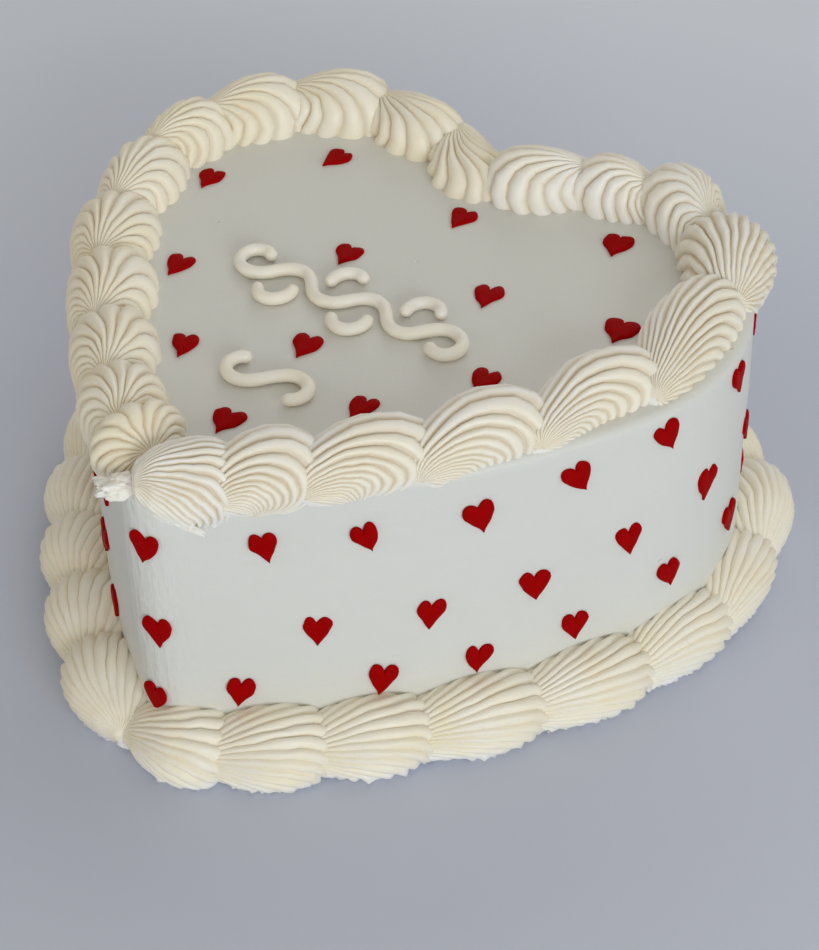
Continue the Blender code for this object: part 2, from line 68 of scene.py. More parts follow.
# Shell borders, as their solids have them. For each shell, in millimetres: where it starts along the
# border's path from the tip of the heart, its half width, its height, and how far it lies outward and
# upward of the path
TOP_RIGHT_SHELLS = (
    (0.0, 15.0, 14.0, 1.5, -0.6), (21.0, 15.1, 14.4, -0.7, 0.3), (46.8, 14.6, 14.2, -1.2, 0.4),
    (82.4, 14.4, 15.0, -2.6, 0.4), (120.6, 13.4, 14.0, -4.8, 0.8), (163.4, 15.0, 15.0, 1.8, -0.2),
    (218.0, 17.4, 16.2, 9.5, 0.8), (250.0, 14.8, 17.2, 9.4, 2.4), (277.2, 14.2, 15.4, 3.2, 1.0),
    (300.5, 15.6, 15.8, -0.2, 0.8),
)
TOP_LEFT_SHELLS = (
    (0.0, 17.0, 15.0, 2.5, 0.0), (20.2, 15.3, 14.6, 1.9, -0.2), (46.6, 15.7, 14.6, 0.8, -0.3),
    (77.3, 16.2, 14.8, 1.2, -0.1), (111.2, 16.2, 14.6, 3.4, -0.3), (144.0, 15.4, 15.2, 3.4, 0.4),
    (178.5, 14.6, 15.8, 3.2, 1.1), (205.4, 15.7, 16.6, 3.0, 1.4), (236.1, 16.2, 16.4, 3.2, 1.4),
    (268.8, 14.6, 14.8, -0.4, 1.0), (300.9, 15.0, 12.6, -3.4, -1.8),
)
# By side, where the axis of the first shell starts, and how far its tail lies above the other tails
TOP_FIRST_TAILS = {-1: (-0.0026, -0.0975, 0.0), 1: (-0.0047, -0.1099, 0.0035)}
# By side, how far past the path's end the last shell reaches
TOP_LAST_HEADS = {-1: (0.0070, -0.0040), 1: (-0.0040, -0.0025)}
FOOT_RIGHT_SHELLS = (
    (-2.0, 16.2, 12.8, 1.9, -0.4), (25.6, 17.0, 13.4, 0.4, -0.1), (57.9, 16.3, 13.0, 0.0, -0.1),
    (91.8, 16.2, 13.0, -0.5, -0.1), (131.0, 15.6, 12.9, -1.1, 0.3), (170.0, 14.9, 12.7, -2.6, -0.3),
    (207.8, 14.6, 12.0, -1.6, -0.2), (246.4, 14.4, 13.8, 3.6, 1.0), (283.9, 16.0, 13.1, 1.5, 0.2),
    (318.9, 16.5, 12.9, 0.5, 0.0), (356.9, 15.8, 13.2, 0.0, -0.1),
)
FOOT_LEFT_SHELLS = (
    (13.6, 16.5, 13.0, 1.1, 0.0), (44.7, 17.6, 12.7, 0.4, -0.2), (78.3, 15.5, 12.9, 2.4, 0.0),
    (109.2, 14.4, 12.9, 3.6, 0.0), (140.1, 15.4, 13.2, 0.5, 0.0), (176.0, 14.8, 12.8, -2.4, 0.2),
    (212.0, 14.9, 12.6, -1.4, 0.0), (248.0, 15.1, 13.3, 2.6, -0.1), (284.0, 16.5, 12.8, 1.0, 0.0),
    (319.0, 16.1, 13.1, -0.3, 0.1), (355.0, 15.6, 12.9, 0.0, 0.0),
)
# Fans of ridges: how far along the shell they start, in metres, and there how many degrees above straight
# outward. Then, in degrees: the turns of the first and the last ridge round that start, where they end
# under the shell (turn, and angle from straight opposite), and how far from the start the shown part reaches
FRONT_RIGHT_FAN = dict(along=0.0062, above=-6, first=-26, last=170, end_turn=-45, end_angle=138,
                       shown_angle=128, ridges=21)
CREST_FAN = dict(along=0.0052, above=80, first=-35, last=215, end_turn=-90, end_angle=140,
                 shown_angle=130, ridges=26)
FOOT_FAN = dict(along=0.0010, above=10, first=-50, last=140, end_turn=-110, end_angle=85,
                shown_angle=136, ridges=19)
# By side, the first shells of the top border, whose tails show
FIRST_FANS = {
    1: dict(along=0.0012, above=30, first=-75, last=150, end_turn=-70, end_angle=92,
            shown_angle=126, ridges=21),
    -1: dict(along=0.0003, above=90, first=-70, last=225, end_turn=-90, end_angle=130,
             shown_angle=130, ridges=21),
}
# By number, the shells of the top border that go round the right lobe
LOBE_FANS = {
    5: dict(along=0.0060, above=7, first=-27, last=177, end_turn=-52, end_angle=138,
            shown_angle=128, ridges=22),
    6: dict(along=0.0012, above=30, first=-74, last=160, end_turn=-66, end_angle=104,
            shown_angle=128, ridges=22),
    7: dict(along=0.0004, above=70, first=-75, last=195, end_turn=-85, end_angle=108,
            shown_angle=128, ridges=24),
}
LAST_FRONT_SHELL = 7  # number of the last shell on the right that isn't round the back

# The borders. Inset and level are where a shell's axis runs, at its head and at its tail. The lowest ridge is
# so many times as wide as the others, and a ridge is as deep as a share of its width. The lower edge lies a
# drop under what the border rests on, and along it the frill and the pale icing have a share of their full
# amount
TOP_BORDER = dict(
    inset=0.0113, level=CAKE_HEIGHT + 0.0004, tail_inset=0.0072, tail_level=CAKE_HEIGHT - 0.0004,
    lowest=1.9, rings=42, depth_share=0.62,
    rests_on=CAKE_HEIGHT, edge_drop=0.0125, frill_share=0.6, pale_share=0.7,
)
FOOT_BORDER = dict(
    inset=-0.0082, level=0.0098, tail_inset=-0.0070, tail_level=0.0080,
    lowest=1.0, rings=36, depth_share=0.42,
    rests_on=0.0, edge_drop=0.0, frill_share=1.0, pale_share=0.95,
)
HEAD_OVERHANG = 0.006
TAIL_TUCK = 0.009

# How thick a shell is along its length, as shares of its length and of its full size. The swell and the
# bluntness are powers
TAIL_SHARE = 0.54
TAIL_END = 0.15
TAIL_END_SHARE = 0.8
TAIL_END_EASE = 1.4
TAIL_SWELL = 1.2
TAIL_CLOSING = 0.05
HEAD_START = 0.58
HEAD_BLUNTNESS = 2.5

# Torn scraps of piping at the tip: middle and half size in metres, turn and slope in degrees
TORN_SCRAPS = (
    ((-0.0064, -0.1152, 0.1105), (0.0080, 0.0042, 0.0030), 40, 0),
    ((0.0080, -0.1119, 0.1039), (0.0115, 0.0024, 0.0020), 12, 14),
)

# How the piping is shaped in detail
ROPE_PLACES = (0.0, 0.07, 0.20, 0.38, 0.62, 0.80, 0.93)  # where the faces lie across one ridge
ROPE_ROUNDNESS = 2.2
HIDDEN_STEPS = 18  # faces across the side that lies on the cake
TURN_STEPS = 400
EVEN_PLACE = 0.7  # how far from the tail, as a share of the shown part, the ridges are equally wide
EVENNESS = 0.85
SHOWN_RINGS = 0.86  # share of the rings that lies between the tail and the head's foot
RIDGE_DEEPEST = 0.0021
# How far ridges stray, in radians, how fast that changes across and along them, and what a shell's seed is
# multiplied by
RIDGE_WANDER = (
    (0.09, 1.3, 1.5, 7.1),
    (0.025, 9.0, 6.0, 3.3),
)
LOWEST_DEPTH = 0.45  # how deep the wide lowest ridge is, as a share of the others
LUMP_DEPTH = 0.35  # how much deeper or less deep a ridge gets where it is lumpy
LUMP_HEIGHT = 0.0002
NARROWEST_ROUND = 0.4  # near a shell's ends the ridges are as wide as where its section has this share
SHELL_SHRINK = 0.985
FRILL = 0.0022  # how far the ends of the ridges stand out at the foot
FRILL_HEIGHT = 0.006
PALE_HEIGHT = 0.010
PALE_RIDGES = 0.7
FACING_OUT = 0.2
ICING_GRAIN = ((300, 0.00018), (900, 0.00008))  # how fine the unevenness is, and its height
BOX_CLEARANCE = 0.0001
POLE = 1e-6

# How creamy the piping is, partly its own tone and partly painted warm light, and how much of the ridges' own
# colour the valleys keep under the painted valley shade
CREAM_AND_WARM_LIGHT_BY_SIDE = {-1: (0.75, 1.0), 1: (0.22, 0.80)}  # by side, of the shells' crests and of their outer sides: painted warm light, stronger on the left side
WARM_LIGHT_ANGLE, WARM_LIGHT_SPREAD = 0.45, 0.9  # in radians, where the painted warm light on the outer side lies, and how wide
FOOT_CREAM = 0.72
WHITE_SHELLS = {"top_shell_right_01": 0.4}  # shells that are less creamy than the others, with less painted warm light
# painted shade in the valleys: the ridge value at a valley's bottom, by group of shells; lower is darker
VALLEY_SHADE_LIFT = {"foot": 0.55, "front": -0.7, "rest": 0.0}
HIDDEN_RIDGE, HIDDEN_CREAM = 0.8, 0.15
TORN_CREAM = 0.1

# Smooth icing: the height of its unevenness, and how fast that changes along the outline and upward
TOP_WAVE, TOP_WAVE_PACE = 0.0004, 14
WALL_WAVES = (
    (0.00045, 11, 22),
    (0.00018, 40, 160),
)
WALL_CALM = 8  # the wall's waves fade out over an eighth of its height, under the top edge

# Rough upright streaks where the wall turns round the tip: their depth, and the y where they fade out
TIP_ROUGHNESS = 0.0009
TIP_ROUGH_FROM, TIP_ROUGH_TO = -0.1165, -0.1085

# Small red hearts
HEART_WIDTH = 0.0105
HEART_LENGTH = 0.0130
HEART_RELIEF = 0.0013
HEART_SINK = 0.0010
HEART_PITCH = 0.0345
HEART_ROWS = (
    # height, hearts on the right side as station from the tip, tilt in degrees and rise in millimetres,
    # and where the hearts on the left side start
    (0.0905, ((0.0025, -8, 0.0), (0.0398, 14, 0.0), (0.0716, 12, -0.2), (0.1080, 12, 0.2), (0.1414, 20, 1.6),
              (0.1740, 22, 0.7), (0.2120, 4, 0.7)), 0.030),
    (0.0540, ((0.0037, 0, 0.6), (0.0544, -4, -0.8), (0.0912, -5, -0.8), (0.1267, 0, 0.1), (0.1607, 4, 0.6),
              (0.1940, -9, 5.3), (0.2300, 3, 3.0)), 0.048),
    (0.0276, ((-0.0005, -5, -4.6), (0.0283, -8, 0.1), (0.0745, -14, -0.4), (0.1070, -2, 1.0),
              (0.1415, 0, -0.4), (0.1780, 4, 1.9), (0.2140, 0, 1.9)), 0.045),
)
HEART_TILT = 0.3
NOTCH_CLEARANCE = 0.020
ROW_RISE = 0.009
ROW_RISE_START = 0.110
ROW_RISE_END = 0.180
TOP_HEARTS = (
    (-0.0885, -0.0040, 9), (-0.0583, 0.0310, -8), (0.0010, 0.0243, 5), (0.0546, 0.0405, 17),
    (-0.0196, -0.0150, 6), (-0.0645, -0.0515, 6), (0.0339, -0.0088, 19), (0.0807, -0.0005, 12),
    (-0.0347, -0.0855, 18), (-0.0009, -0.0639, 8), (0.0580, -0.0470, 10), (0.0332, -0.0805, 8),
    (0.0015, -0.1090, 9),
)
SEED = 14  # for the hearts' sizes, and for the tilts that the photo doesn't show
WALL_HEART_SIZES = (0.92, 1.06)
TOP_HEART_SIZES = (0.94, 1.08)
# Height of a heart's rim, of the pillow in it and of its strokes, as shares of its relief
HEART_RIM, HEART_PILLOW, HEART_STROKES = 0.28, 0.30, 0.42
STROKE_WIDE, STROKE_NARROW = 0.30, 0.09  # half width of a stroke at its ends, as shares of the heart's width
# How the hearts differ: the usual value and how far it varies
HEART_UNEVEN = (0.0, 0.10)
HEART_LEAN = (0.0, 0.16)
HEART_PLUMP = (0.12, 0.16)
HEART_SLIM = (0.96, 0.16)
HEART_WOBBLE = 0.0006
HEART_GRAIN = 0.00010

# Piped scroll
SCROLL_THICKNESS = 0.0046
SCROLL_STEP = 0.0012
WAVES = (
    ("scroll_long", (-0.0020, -0.0380), 0.038, 1.25, 0.0252, 0.0085),
    ("scroll_short", (0.0005, -0.0860), 0.044, 0.25, 0.0180, 0.0075),
)
WAVE_SWING = 0.90
SHORT_CURLS = (
    ((0.0088, -0.0418), -62, 0.0216),
    ((-0.0219, -0.0418), -62, 0.0216),
    ((-0.0128, -0.0342), 118, 0.0180),
    ((0.0179, -0.0342), 118, 0.0216),
)
SHORT_CURL_RADIUS = 0.0085
CURL_TIGHT_RADIUS = 0.0045
STROKE_END = (0.25, 0.75)  # how thick a stroke's very end is, and how much it gains to its full size
STROKE_END_STEPS = 2.0
STROKE_SIZE = (0.96, 0.06)
SCROLL_SINK = 0.0004
SCROLL_GRAIN = (220, 0.00018)
SCROLL_CREAM = 0.45
# painted shade: the scroll's strokes take the valley colour towards their underside
SCROLL_PAINTED_SHADE = (0.6, 0.4)

# Colours
ICING_DARKER = (0.742, 0.742, 0.690, 1.0)
ICING_LIGHTER = (0.775, 0.778, 0.732, 1.0)
ICING_PITS = (0.82, 0.81, 0.78, 1.0)
PIPED_WHITE = (0.97, 0.957, 0.915, 1.0)
PIPED_CREAM = (0.97, 0.885, 0.69, 1.0)
# painted shade in the piping's valleys
PAINTED_VALLEY_SHADE = (0.83, 0.74, 0.585, 1.0)
HEART_DARKER = (0.30, 0.0006, 0.0008, 1.0)
HEART_LIGHTER = (0.405, 0.001, 0.0013, 1.0)
FLOOR_NEAR = (0.60, 0.638, 0.75, 1.0)
FLOOR_FAR = (0.752, 0.803, 0.895, 1.0)
SURROUNDINGS = (0.98, 0.955, 0.90, 1.0)

# Studio. Lights: name, place, what they point at, size, power and colour
CAKE_MIDDLE = (0.0, 0.0, 0.06)
LIGHTS = (
    ("key", (2.79, -1.8, 1.03), CAKE_MIDDLE, (2.0, 1.45), 51.3, (0.95, 1.0, 1.03)),
    ("window", (-1.62, -2.34, 1.57), CAKE_MIDDLE, (2.5, 1.8), 8.6, (1.0, 0.87, 0.70)),
    ("top", (0.45, 1.62, 2.65), CAKE_MIDDLE, (2.9, 2.2), 9.5, (1.0, 0.98, 0.94)),
    ("back", (-1.1, 3.0, 1.5), (-0.7, 0.9, 0.0), (2.4, 1.6), 15.1, (0.98, 1.0, 1.03)),
)
SURROUNDINGS_STRENGTH = 0.362
FLOOR_SIZE = 6.0
FLOOR_GAP = 0.0002
FLOOR_SHADE_FROM, FLOOR_SHADE_TO = 0.17, 0.40  # how far from the cake's middle the floor gets lighter

# Camera, in the cake's own frame
CAMERA_PLACE = (0.3988, -0.5212, 0.5975)
CAMERA_AZIMUTH = 36.0
CAMERA_ELEVATION = 40.6
CAMERA_ROLL = -1.6
CAMERA_LENS = 92.57


def clamp(value, low=0.0, high=1.0):
    return max(low, min(high, value))


def smooth_ramp(value):
    value = clamp(value)
    return value * value * (3 - 2 * value)


def mix(first, second, share):
    return first + (second - first) * share



def metres(millimetres):
    return millimetres / 1000


# Outline of the heart

def heart_arcs(offset):
    """The right half of the outline moved out by offset: (centre, radius, start, end) from tip to notch."""
    lobe = Vector((LOBE_OFFSET, 0.0))
    tip = Vector((0.0, TIP_RADIUS - TIP_REACH))
    to_tip = SIDE_RADIUS - TIP_RADIUS
    to_lobe = SIDE_RADIUS - LOBE_RADIUS
    span = (lobe - tip).length
    corner = math.acos((to_tip**2 + span**2 - to_lobe**2) / (2 * to_tip * span))
    bearing = math.atan2(lobe.y - tip.y, lobe.x - tip.x) + corner
    side = tip + to_tip * Vector((math.cos(bearing), math.sin(bearing)))
    leave_tip = math.atan2(tip.y - side.y, tip.x - side.x)
    meet_lobe = math.atan2(lobe.y - side.y, lobe.x - side.x)
    lobe_radius = LOBE_RADIUS + offset
    arcs = [
        (tip, TIP_RADIUS + offset, -math.pi / 2, leave_tip),
        (side, SIDE_RADIUS + offset, leave_tip, meet_lobe),
    ]
    if offset < 0:
        notch = Vector((0.0, math.sqrt(LOBE_RADIUS**2 - LOBE_OFFSET**2)))
        last = math.acos(-LOBE_OFFSET / LOBE_RADIUS)
        arcs.append((lobe, lobe_radius, meet_lobe, last))
        arcs.append((notch, offset, last, math.pi / 2))
    else:
        arcs.append((lobe, lobe_radius, meet_lobe, math.acos(-LOBE_OFFSET / lobe_radius)))
    return arcs


def arc_length(arc):
    return abs(arc[1] * (arc[3] - arc[2]))


def half_length(offset):
    return sum(arc_length(arc) for arc in heart_arcs(offset))


def station(distance, side, offset=0.0):
    """Point and outward direction on the outline, a distance from the tip, right (+1) or left (-1)."""
    if distance < 0:
        distance, side = -distance, -side
    arcs = heart_arcs(offset)
    while len(arcs) > 1 and distance > arc_length(arcs[0]):
        distance -= arc_length(arcs.pop(0))
    centre, radius, start, end = arcs[0]
    angle = start + (end - start) * min(distance / arc_length(arcs[0]), 1.0)
    out = Vector((math.cos(angle), math.sin(angle)))
    point = centre + radius * out
    return Vector((side * point.x, point.y + LOBE_LINE_Y)), Vector((side * out.x, out.y))



# Materials

FIRST_COLOUR, SECOND_COLOUR, MIXED_COLOUR = 6, 7, 2  # sockets of a mix of colours


def fill_inputs(tree, made, inputs):
    """Links a node to the sockets among its inputs, and sets its other inputs."""
    for socket, value in inputs.items():
        if isinstance(value, bpy.types.NodeSocket):
            tree.links.new(value, made.inputs[socket])
        else:
            made.inputs[socket].default_value = value


def node(tree, kind, inputs=None, **settings):
    made = tree.nodes.new(kind)
    for name, value in settings.items():
        setattr(made, name, value)
    fill_inputs(tree, made, inputs or {})
    return made


def calculate(tree, operation, *values, **settings):
    """The result of a sum with sockets and numbers."""
    return node(tree, "ShaderNodeMath", dict(enumerate(values)), operation=operation, **settings).outputs[0]


def fitted(tree, value, low, high, **settings):
    """A value between 0 and 1, fitted between low and high."""
    return node(tree, "ShaderNodeMapRange", {"Value": value, "To Min": low, "To Max": high},
                **settings).outputs[0]


def faded(tree, value, start, end, low=0.0, high=1.0, **settings):
    """Low where a value is at its start, and high where it has reached its end."""
    return node(tree, "ShaderNodeMapRange", {
        "Value": value, "From Min": start, "From Max": end, "To Min": low, "To Max": high,
    }, **settings).outputs[0]


def cloudy(tree, place, scale, detail, roughness=0.5):
    """A soft random pattern."""
    return node(tree, "ShaderNodeTexNoise", {
        "Vector": place, "Scale": scale, "Detail": detail, "Roughness": roughness,
    }).outputs["Fac"]


def colour_mix(tree, share, first, second):
    """A colour between two, by a share."""
    return node(tree, "ShaderNodeMix", {"Factor": share, FIRST_COLOUR: first, SECOND_COLOUR: second},
                data_type="RGBA").outputs[MIXED_COLOUR]


def bumped(tree, height, strength=1.0, distance=1.0):
    return node(tree, "ShaderNodeBump", {
        "Height": height, "Strength": strength, "Distance": distance,
    }).outputs[0]


def icing_relief_group():
    """Spread marks, small pits and a fine grain in buttercream, as one height in metres."""
    group = bpy.data.node_groups.new("icing_relief", "ShaderNodeTree")
    face = group.interface
    face.new_socket("Vector", in_out="INPUT", socket_type="NodeSocketVector")
    for name, value in (("Grain", 1.0), ("Pits", 1.0), ("Marks", 1.0)):
        face.new_socket(name, in_out="INPUT", socket_type="NodeSocketFloat").default_value = value
    face.new_socket("Height", in_out="OUTPUT", socket_type="NodeSocketFloat")
    face.new_socket("Pit Mask", in_out="OUTPUT", socket_type="NodeSocketFloat")
    ins = node(group, "NodeGroupInput").outputs
    grain = cloudy(group, ins["Vector"], 900.0, 3.0, 0.6)
    stretched = node(group, "ShaderNodeMapping", {"Vector": ins["Vector"], "Scale": (60.0, 60.0, 380.0)})
    marks = cloudy(group, stretched.outputs[0], 1.0, 3.0, 0.45)
    cells = node(group, "ShaderNodeTexVoronoi", {"Vector": ins["Vector"], "Scale": 95.0, "Randomness": 1.0})
    pit = faded(group, cells.outputs["Distance"], 0.03, 0.11, 1.0, 0.0, interpolation_type="SMOOTHSTEP")
    patchy = faded(group, cloudy(group, ins["Vector"], 42.0, 1.0), 0.56, 0.66)
    mask = calculate(group, "MULTIPLY", pit, patchy)
    heights = []
    for value, strength, size in ((grain, ins["Grain"], 0.00007), (mask, ins["Pits"], -0.00035),
                                  (marks, ins["Marks"], 0.00022)):
        heights.append(calculate(group, "MULTIPLY", calculate(group, "MULTIPLY", value, size), strength))
    total = calculate(group, "ADD", calculate(group, "ADD", heights[0], heights[1]), heights[2])
    node(group, "NodeGroupOutput", {"Height": total, "Pit Mask": mask})
    return group


def new_material(name):
    material = bpy.data.materials.new(name)
    material.use_nodes = True
    return material, material.node_tree, material.node_tree.nodes["Principled BSDF"]


def smooth_icing(relief):
    """White buttercream with faint clouds, and with rough upright streaks on the wall at the tip."""
    material, tree, shader = new_material("smooth_buttercream")
    place = node(tree, "ShaderNodeTexCoord").outputs["Object"]
    bumps = node(tree, "ShaderNodeGroup", {"Vector": place}, node_tree=relief).outputs
    cloud = cloudy(tree, place, 16.0, 3.0)
    tint = colour_mix(tree, cloud, ICING_DARKER, ICING_LIGHTER)
    parts = node(tree, "ShaderNodeSeparateXYZ", {0: place})
    at_tip = faded(tree, parts.outputs["Y"], TIP_ROUGH_FROM, TIP_ROUGH_TO, 1.0, 0.0)
    upright = node(tree, "ShaderNodeMapping", {"Vector": place, "Scale": (420.0, 420.0, 110.0)})
    torn = calculate(tree, "MULTIPLY", cloudy(tree, upright.outputs[0], 1.0, 3.0, 0.6), at_tip)
    height = calculate(tree, "MULTIPLY_ADD", torn, TIP_ROUGHNESS, bumps["Height"])
    fill_inputs(tree, shader, {
        "Base Color": colour_mix(tree, bumps["Pit Mask"], tint, ICING_PITS),
        "Roughness": fitted(tree, cloud, 0.42, 0.58),
        "Normal": bumped(tree, height),
        "Subsurface Weight": 0.08,
        "Subsurface Radius": (0.004, 0.003, 0.002),
        "Subsurface Scale": 1.0,
    })
    return material


def piped_icing(relief):
    """Ivory buttercream: whiter on the ridges, with painted shade, darker and warmer, down in the valleys;
    its creaminess is partly its own tone and partly painted warm light.
    """
    material, tree, shader = new_material("piped_buttercream")
    place = node(tree, "ShaderNodeTexCoord").outputs["Object"]
    bumps = node(tree, "ShaderNodeGroup", {"Vector": place, "Grain": 1.4, "Pits": 0.5, "Marks": 0.15},
                 node_tree=relief)
    ridge = node(tree, "ShaderNodeAttribute", attribute_name="ridge", attribute_type="GEOMETRY")
    cream_and_warm_light = node(tree, "ShaderNodeAttribute", attribute_name="cream_and_warm_light", attribute_type="GEOMETRY")
    cloud = cloudy(tree, place, 55.0, 3.0, 0.55)
    wander = calculate(tree, "SUBTRACT", cloud, 0.5)
    # random marbling of the cream, added to the creaminess that is partly painted warm light
    warmth = calculate(tree, "MULTIPLY_ADD", wander, 1.4, cream_and_warm_light.outputs["Fac"], use_clamp=True)
    crest = colour_mix(tree, warmth, PIPED_WHITE, PIPED_CREAM)
    fill_inputs(tree, shader, {
        # painted shade: the valley colour takes over where the ridge value is low
        "Base Color": colour_mix(tree, faded(tree, ridge.outputs["Fac"], 0.0, 0.75), PAINTED_VALLEY_SHADE, crest),
        "Roughness": fitted(tree, cloud, 0.38, 0.55),
        "Normal": bumped(tree, bumps.outputs["Height"]),
        "Subsurface Weight": 0.10,
        "Subsurface Radius": (0.004, 0.0028, 0.0016),
        "Subsurface Scale": 1.0,
    })
    return material


def red_sugar():
    material, tree, shader = new_material("red_sugar")
    place = node(tree, "ShaderNodeTexCoord").outputs["Object"]
    cloud = cloudy(tree, place, 300.0, 2.0)
    fill_inputs(tree, shader, {
        "Base Color": colour_mix(tree, cloud, HEART_DARKER, HEART_LIGHTER),
        "Roughness": fitted(tree, cloud, 0.38, 0.52),
        "Specular IOR Level": 0.02,
        "Normal": bumped(tree, cloud, 0.25, 0.0003),
    })
    return material


def finish_piece(name, shape, material, nodes):
    """Makes a finished mesh a piece that stands for its solids."""
    mesh = bpy.data.meshes.new(name)
    shape.to_mesh(mesh)
    shape.free()
    mesh.shade_smooth()
    mesh.materials.append(material)
    piece = bpy.data.objects.new(name, mesh)
    bpy.context.scene.collection.objects.link(piece)
    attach(piece, "root")
    if nodes:
        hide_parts(*nodes)
    return piece


# Smooth cake

OUTLINE_STEPS = 360
TOP_RINGS = 44
EDGE_RINGS = 6
WALL_RINGS = 56
UNDER_RINGS = 4
HEART_MIDDLE = Vector((0.0, -0.015 + LOBE_LINE_Y))


def cake_ring(ring):
    """Which face of the cake a ring lies on, and its share of the way over it. The rings go from the middle
    of the top to the middle of the underside."""
    if ring <= TOP_RINGS:
        return ("top", ring / TOP_RINGS)
    ring -= TOP_RINGS
    if ring <= EDGE_RINGS:
        return ("edge", ring / EDGE_RINGS)
    ring -= EDGE_RINGS
    if ring <= WALL_RINGS:
        return ("wall", ring / WALL_RINGS)
    return ("under", (ring - WALL_RINGS) / UNDER_RINGS)


def cake_point(where, share, rim, out):
    """Point of the cake at a share of the way over a face, by the outline's point and outward direction."""
    edge = TOP_EDGE_ROUND
    inner = rim - edge * out
    if where == "top":
        flat = HEART_MIDDLE + (inner - HEART_MIDDLE) * share
        wave = noise.noise(Vector((flat.x * TOP_WAVE_PACE, flat.y * TOP_WAVE_PACE, 3.0)))
        return Vector((flat.x, flat.y, CAKE_HEIGHT + TOP_WAVE * wave * (1 - share**6)))
    if where == "edge":
        turn = share * math.pi / 2
        flat = inner + edge * math.sin(turn) * out
        return Vector((flat.x, flat.y, CAKE_HEIGHT - edge + edge * math.cos(turn)))
    if where == "wall":
        height = (CAKE_HEIGHT - edge) * (1 - share)
        push = sum(wave * noise.noise(Vector((rim.x * round_pace, rim.y * round_pace, height * up_pace)))
                   for wave, round_pace, up_pace in WALL_WAVES)
        flat = rim + push * min(1.0, share * WALL_CALM) * out
        return Vector((flat.x, flat.y, height))
    flat = HEART_MIDDLE + (rim - HEART_MIDDLE) * (1 - share)
    return Vector((flat.x, flat.y, 0.0))


def smooth_cake(material):
    rings = TOP_RINGS + EDGE_RINGS + WALL_RINGS + UNDER_RINGS
    shape = bmesh.new()
    bmesh.ops.create_uvsphere(shape, u_segments=OUTLINE_STEPS, v_segments=rings, radius=1.0)
    half = half_length(0.0)
    stations = []
    for index in range(OUTLINE_STEPS):
        share = 2 * index / OUTLINE_STEPS
        side = 1 if share <= 1 else -1
        stations.append(station(half * (share if share <= 1 else 2 - share), side))
    for vert in shape.verts:
        ring = round(math.acos(clamp(vert.co.z, -1.0, 1.0)) / math.pi * rings)
        index = round(math.atan2(vert.co.y, vert.co.x) / (2 * math.pi) * OUTLINE_STEPS) % OUTLINE_STEPS
        rim, out = stations[index]
        vert.co = cake_point(*cake_ring(ring), rim, out)
    shape.normal_update()
    bmesh.ops.recalc_face_normals(shape, faces=shape.faces)
    return finish_piece("smooth_icing", shape, material, ["cake_body"])


# Piped shells

def shell_profile(share):
    """How thick a shell is at a share of its length, as a share of its full size."""
    if share > HEAD_START:
        rest = (share - HEAD_START) / (1 - HEAD_START)
        return max(0.0, 1 - rest**HEAD_BLUNTNESS) ** (1 / HEAD_BLUNTNESS)
    thick = TAIL_SHARE + (1 - TAIL_SHARE) * math.sin(math.pi / 2 * share / HEAD_START) ** TAIL_SWELL
    thick *= mix(TAIL_END_SHARE, 1.0, smooth_ramp(share / TAIL_END / TAIL_END_EASE))
    closing = clamp(share / TAIL_CLOSING)
    return thick * math.sqrt(max(0.0, 1 - (1 - closing) ** 2))


def shell_plan(prefix, border, shells, side):
    """Place and size of every shell of one run, by the same rule as the solids."""
    path = -border["inset"]
    total = half_length(path)
    starts = [metres(shell[0]) for shell in shells] + [total - HEAD_OVERHANG]
    plans = []
    for number, (start, wide, high, outward, lift) in enumerate(shells, start=1):
        tail = station(metres(start) - TAIL_TUCK, side, path)[0]
        head = station(starts[number] + HEAD_OVERHANG, side, path)[0]
        tail_lift = 0.0
        if number == 1 and border is TOP_BORDER:
            tail = Vector(TOP_FIRST_TAILS[side][:2])
            tail_lift = TOP_FIRST_TAILS[side][2]
        if number == len(shells) and border is TOP_BORDER:
            head += Vector(TOP_LAST_HEADS[side])
        along = head - tail
        plans.append(dict(
            name=f"{prefix}_{number:02d}", number=number, border=border, side=side,
            front=side > 0 and number <= LAST_FRONT_SHELL, length=along.length,
            wide=metres(wide), high=metres(high), outward=metres(outward), lift=metres(lift),
            tail_lift=tail_lift, place=tail, yaw=math.atan2(along.y, along.x),
        ))
    return plans


def shell_fan(plan):
    """Settings of one shell's fan, and what its ridges are drawn by: the tilt that brings a sphere's tail to
    the fan's start, where the fan ends in the flat picture of that sphere seen from the start, how wide the
    picture is spread, and how far the shown part reaches in it."""
    if plan["border"] is FOOT_BORDER:
        fan = dict(FOOT_FAN)
    elif plan["number"] == 1:
        fan = dict(FIRST_FANS[plan["side"]])
    elif plan["front"]:
        fan = dict(LOBE_FANS.get(plan["number"], FRONT_RIGHT_FAN))
    else:
        fan = dict(CREST_FAN)
    above = math.radians(fan["above"])
    forward = 2 * fan["along"] / plan["length"] - 1
    outward = math.sqrt(1 - forward * forward)
    start = Vector((forward, outward * math.cos(above), outward * math.sin(above)))
    fan["tilt"] = Vector((-1.0, 0.0, 0.0)).rotation_difference(start).to_matrix()
    reach = math.tan(math.radians(fan["end_angle"]) / 2)
    turn = math.radians(fan["end_turn"])
    fan["end"] = reach * Vector((math.cos(turn), math.sin(turn)))
    fan["spread"] = math.sqrt(1 + fan["end"].length_squared)  # keeps the rings evenly apart along the ridges
    edge = math.tan((math.pi - math.radians(fan["shown_angle"])) / 2)
    fan["shown"] = math.pi - 2 * math.atan(edge / fan["spread"])
    return fan


